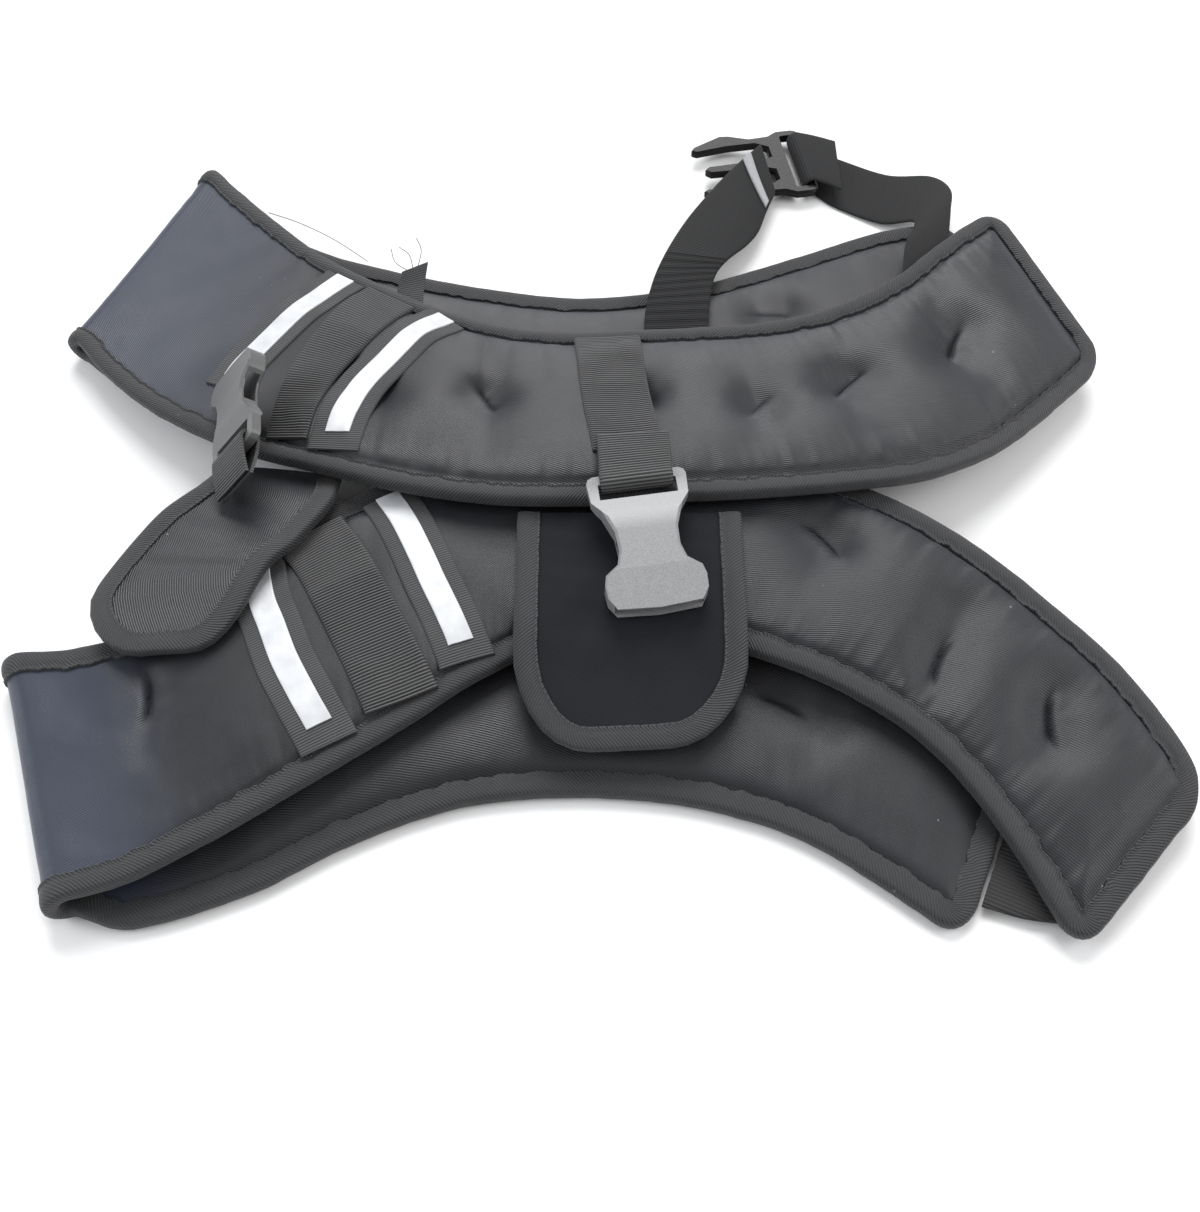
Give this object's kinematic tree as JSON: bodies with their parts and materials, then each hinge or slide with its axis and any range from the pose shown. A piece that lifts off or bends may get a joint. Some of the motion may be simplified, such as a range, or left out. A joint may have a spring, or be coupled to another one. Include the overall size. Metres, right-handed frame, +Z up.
{
  "type": "weighted vest",
  "caption": "Padded neoprene training vest lying folded flat, with bound edges, reflective strips, webbing and side-release buckles",
  "frame": {"origin": "Centre of the whole part's footprint, on the surface that the folded vest lies on", "axes": "+X runs from the waist folds to the shoulder ends, +Y from the half nearer the viewer to the half whose edge lies on top, +Z up from the surface"},
  "size_m": [0.4774, 0.4482, 0.0579],
  "materials": {
    "neoprene": "matte knit-faced neoprene",
    "binding": "matte twill edge tape",
    "tape": "matte woven tape",
    "webbing": "ribbed woven webbing",
    "elastic": "matte knitted elastic",
    "reflective": "satin silver-white reflective strip",
    "silver": "satin silver strip",
    "grey_plastic": "satin moulded",
    "black_plastic": "gloss moulded"
  },
  "bodies": {
    "root": {"lower_pad": "neoprene", "upper_pad": "neoprene", "lower_binding": "binding", "upper_binding": "binding", "upper_tape_outer": "tape", "upper_reflector_outer": "reflective", "upper_tape_inner": "tape", "upper_reflector_inner": "reflective", "lower_tape_outer": "tape", "lower_reflector_outer": "reflective", "lower_tape_inner": "tape", "lower_reflector_inner": "reflective", "chest_webbing": "webbing", "upper_waist_webbing": "webbing", "lower_waist_webbing": "webbing", "chest_flap": "neoprene", "chest_flap_binding": "binding", "waist_flap": "neoprene", "waist_flap_binding": "binding", "chest_buckle": "grey_plastic", "waist_buckle": "grey_plastic", "waist_loop": "webbing", "latch_buckle": "black_plastic", "chest_loop": "webbing", "back_strap": "webbing", "tail_strap": "webbing", "keeper": "silver", "lower_side_band": "elastic", "upper_side_band": "elastic", "tape_end": "tape", "back_panel": "neoprene"}
  },
  "joints": []
}
